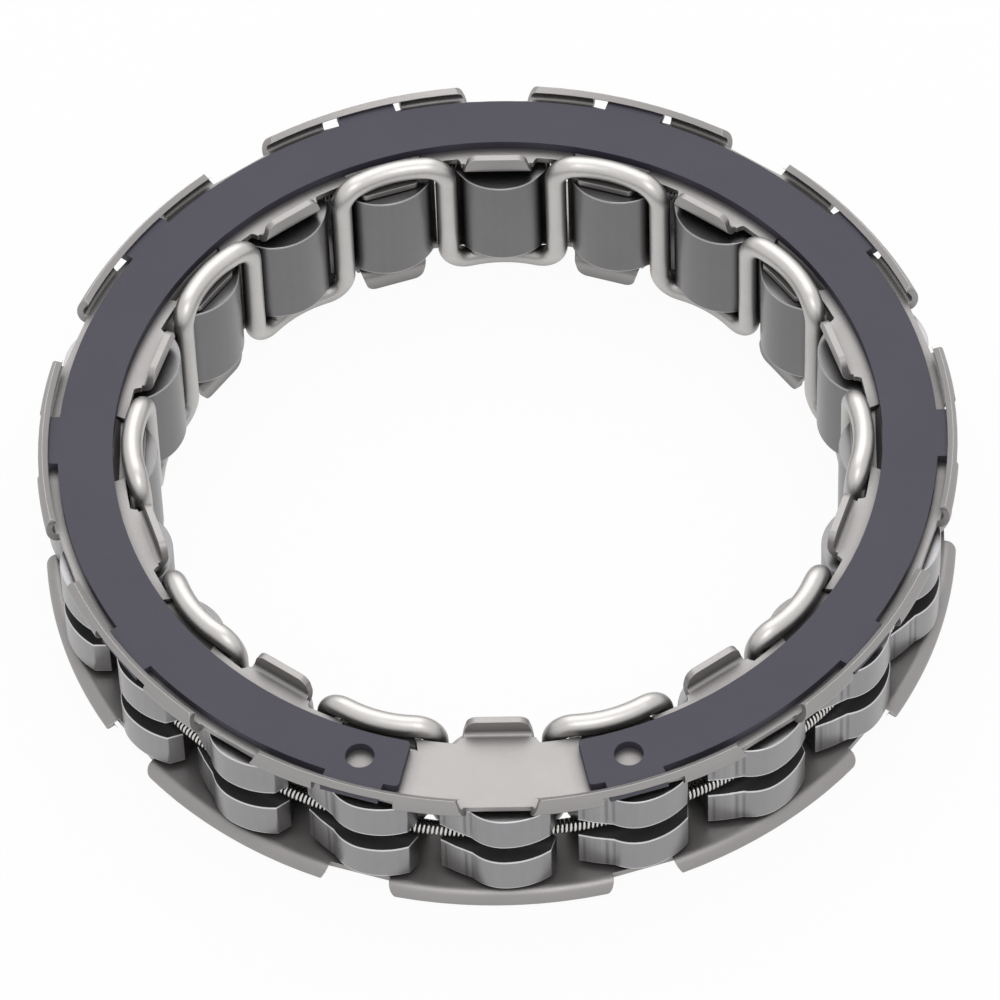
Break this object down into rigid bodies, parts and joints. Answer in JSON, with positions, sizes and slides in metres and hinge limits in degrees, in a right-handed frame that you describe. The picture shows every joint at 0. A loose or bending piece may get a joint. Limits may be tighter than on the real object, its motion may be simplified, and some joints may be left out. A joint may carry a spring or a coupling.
{
  "type": "sprag clutch",
  "caption": "One-way sprag clutch insert: a caged ring of tilting sprags between two pressed side plates, held by a bent wire, a garter spring and an open retaining ring.",
  "frame": {"origin": "middle of the clutch: on its axis, half way between the side plates", "axes": "+Z along the clutch axis towards the retaining ring, -Y towards the gap in that ring, X to the right seen from the gap"},
  "size_m": [0.067, 0.067, 0.0128],
  "materials": {
    "plate_steel": "cold-rolled strip, tumbled satin",
    "ring_phosphate": "blue-black phosphate, matt",
    "wire_steel": "bright drawn wire, satin",
    "sprag_steel": "hardened and ground bearing steel, dark satin",
    "spring_steel": "bright coil spring wire"
  },
  "bodies": {
    "cage": {"upper_side_plate": "plate_steel", "lower_side_plate": "plate_steel", "snap_ring": "ring_phosphate", "meander_wire": "wire_steel", "garter_spring": "spring_steel"},
    "sprag_01_body": {"sprag_01": "sprag_steel"},
    "sprag_02_body": {"sprag_02": "sprag_steel"},
    "sprag_03_body": {"sprag_03": "sprag_steel"},
    "sprag_04_body": {"sprag_04": "sprag_steel"},
    "sprag_05_body": {"sprag_05": "sprag_steel"},
    "sprag_06_body": {"sprag_06": "sprag_steel"},
    "sprag_07_body": {"sprag_07": "sprag_steel"},
    "sprag_08_body": {"sprag_08": "sprag_steel"},
    "sprag_09_body": {"sprag_09": "sprag_steel"},
    "sprag_10_body": {"sprag_10": "sprag_steel"},
    "sprag_11_body": {"sprag_11": "sprag_steel"},
    "sprag_12_body": {"sprag_12": "sprag_steel"},
    "sprag_13_body": {"sprag_13": "sprag_steel"},
    "sprag_14_body": {"sprag_14": "sprag_steel"},
    "sprag_15_body": {"sprag_15": "sprag_steel"},
    "sprag_16_body": {"sprag_16": "sprag_steel"},
    "sprag_17_body": {"sprag_17": "sprag_steel"},
    "sprag_18_body": {"sprag_18": "sprag_steel"},
    "sprag_19_body": {"sprag_19": "sprag_steel"},
    "sprag_20_body": {"sprag_20": "sprag_steel"}
  },
  "joints": [
    {"name": "sprag_01_tilt", "type": "hinge", "parent": "cage", "child": "sprag_01_body", "pos_m": [0, 0.02878, 0], "axis": [0, 0, 1], "range_deg": [0, 13], "stiffness_Nm_per_rad": 0.004, "springref_deg": -5.73},
    {"name": "sprag_02_tilt", "type": "hinge", "parent": "cage", "child": "sprag_02_body", "pos_m": [-0.00889, 0.02737, 0], "axis": [0, 0, 1], "range_deg": [0, 13], "stiffness_Nm_per_rad": 0.004, "springref_deg": -5.73},
    {"name": "sprag_03_tilt", "type": "hinge", "parent": "cage", "child": "sprag_03_body", "pos_m": [-0.01692, 0.02328, 0], "axis": [0, 0, 1], "range_deg": [0, 13], "stiffness_Nm_per_rad": 0.004, "springref_deg": -5.73},
    {"name": "sprag_04_tilt", "type": "hinge", "parent": "cage", "child": "sprag_04_body", "pos_m": [-0.02328, 0.01692, 0], "axis": [0, 0, 1], "range_deg": [0, 13], "stiffness_Nm_per_rad": 0.004, "springref_deg": -5.73},
    {"name": "sprag_05_tilt", "type": "hinge", "parent": "cage", "child": "sprag_05_body", "pos_m": [-0.02737, 0.00889, 0], "axis": [0, 0, 1], "range_deg": [0, 13], "stiffness_Nm_per_rad": 0.004, "springref_deg": -5.73},
    {"name": "sprag_06_tilt", "type": "hinge", "parent": "cage", "child": "sprag_06_body", "pos_m": [-0.02878, 0, 0], "axis": [0, 0, 1], "range_deg": [0, 13], "stiffness_Nm_per_rad": 0.004, "springref_deg": -5.73},
    {"name": "sprag_07_tilt", "type": "hinge", "parent": "cage", "child": "sprag_07_body", "pos_m": [-0.02737, -0.00889, 0], "axis": [0, 0, 1], "range_deg": [0, 13], "stiffness_Nm_per_rad": 0.004, "springref_deg": -5.73},
    {"name": "sprag_08_tilt", "type": "hinge", "parent": "cage", "child": "sprag_08_body", "pos_m": [-0.02328, -0.01692, 0], "axis": [0, 0, 1], "range_deg": [0, 13], "stiffness_Nm_per_rad": 0.004, "springref_deg": -5.73},
    {"name": "sprag_09_tilt", "type": "hinge", "parent": "cage", "child": "sprag_09_body", "pos_m": [-0.01692, -0.02328, 0], "axis": [0, 0, 1], "range_deg": [0, 13], "stiffness_Nm_per_rad": 0.004, "springref_deg": -5.73},
    {"name": "sprag_10_tilt", "type": "hinge", "parent": "cage", "child": "sprag_10_body", "pos_m": [-0.00889, -0.02737, 0], "axis": [0, 0, 1], "range_deg": [0, 13], "stiffness_Nm_per_rad": 0.004, "springref_deg": -5.73},
    {"name": "sprag_11_tilt", "type": "hinge", "parent": "cage", "child": "sprag_11_body", "pos_m": [0, -0.02878, 0], "axis": [0, 0, 1], "range_deg": [0, 13], "stiffness_Nm_per_rad": 0.004, "springref_deg": -5.73},
    {"name": "sprag_12_tilt", "type": "hinge", "parent": "cage", "child": "sprag_12_body", "pos_m": [0.00889, -0.02737, 0], "axis": [0, 0, 1], "range_deg": [0, 13], "stiffness_Nm_per_rad": 0.004, "springref_deg": -5.73},
    {"name": "sprag_13_tilt", "type": "hinge", "parent": "cage", "child": "sprag_13_body", "pos_m": [0.01692, -0.02328, 0], "axis": [0, 0, 1], "range_deg": [0, 13], "stiffness_Nm_per_rad": 0.004, "springref_deg": -5.73},
    {"name": "sprag_14_tilt", "type": "hinge", "parent": "cage", "child": "sprag_14_body", "pos_m": [0.02328, -0.01692, 0], "axis": [0, 0, 1], "range_deg": [0, 13], "stiffness_Nm_per_rad": 0.004, "springref_deg": -5.73},
    {"name": "sprag_15_tilt", "type": "hinge", "parent": "cage", "child": "sprag_15_body", "pos_m": [0.02737, -0.00889, 0], "axis": [0, 0, 1], "range_deg": [0, 13], "stiffness_Nm_per_rad": 0.004, "springref_deg": -5.73},
    {"name": "sprag_16_tilt", "type": "hinge", "parent": "cage", "child": "sprag_16_body", "pos_m": [0.02878, 0, 0], "axis": [0, 0, 1], "range_deg": [0, 13], "stiffness_Nm_per_rad": 0.004, "springref_deg": -5.73},
    {"name": "sprag_17_tilt", "type": "hinge", "parent": "cage", "child": "sprag_17_body", "pos_m": [0.02737, 0.00889, 0], "axis": [0, 0, 1], "range_deg": [0, 13], "stiffness_Nm_per_rad": 0.004, "springref_deg": -5.73},
    {"name": "sprag_18_tilt", "type": "hinge", "parent": "cage", "child": "sprag_18_body", "pos_m": [0.02328, 0.01692, 0], "axis": [0, 0, 1], "range_deg": [0, 13], "stiffness_Nm_per_rad": 0.004, "springref_deg": -5.73},
    {"name": "sprag_19_tilt", "type": "hinge", "parent": "cage", "child": "sprag_19_body", "pos_m": [0.01692, 0.02328, 0], "axis": [0, 0, 1], "range_deg": [0, 13], "stiffness_Nm_per_rad": 0.004, "springref_deg": -5.73},
    {"name": "sprag_20_tilt", "type": "hinge", "parent": "cage", "child": "sprag_20_body", "pos_m": [0.00889, 0.02737, 0], "axis": [0, 0, 1], "range_deg": [0, 13], "stiffness_Nm_per_rad": 0.004, "springref_deg": -5.73}
  ],
  "couplings": [
    {"joint": "sprag_02_tilt", "follows": "sprag_01_tilt", "ratio": 1},
    {"joint": "sprag_03_tilt", "follows": "sprag_01_tilt", "ratio": 1},
    {"joint": "sprag_04_tilt", "follows": "sprag_01_tilt", "ratio": 1},
    {"joint": "sprag_05_tilt", "follows": "sprag_01_tilt", "ratio": 1},
    {"joint": "sprag_06_tilt", "follows": "sprag_01_tilt", "ratio": 1},
    {"joint": "sprag_07_tilt", "follows": "sprag_01_tilt", "ratio": 1},
    {"joint": "sprag_08_tilt", "follows": "sprag_01_tilt", "ratio": 1},
    {"joint": "sprag_09_tilt", "follows": "sprag_01_tilt", "ratio": 1},
    {"joint": "sprag_10_tilt", "follows": "sprag_01_tilt", "ratio": 1},
    {"joint": "sprag_11_tilt", "follows": "sprag_01_tilt", "ratio": 1},
    {"joint": "sprag_12_tilt", "follows": "sprag_01_tilt", "ratio": 1},
    {"joint": "sprag_13_tilt", "follows": "sprag_01_tilt", "ratio": 1},
    {"joint": "sprag_14_tilt", "follows": "sprag_01_tilt", "ratio": 1},
    {"joint": "sprag_15_tilt", "follows": "sprag_01_tilt", "ratio": 1},
    {"joint": "sprag_16_tilt", "follows": "sprag_01_tilt", "ratio": 1},
    {"joint": "sprag_17_tilt", "follows": "sprag_01_tilt", "ratio": 1},
    {"joint": "sprag_18_tilt", "follows": "sprag_01_tilt", "ratio": 1},
    {"joint": "sprag_19_tilt", "follows": "sprag_01_tilt", "ratio": 1},
    {"joint": "sprag_20_tilt", "follows": "sprag_01_tilt", "ratio": 1}
  ]
}
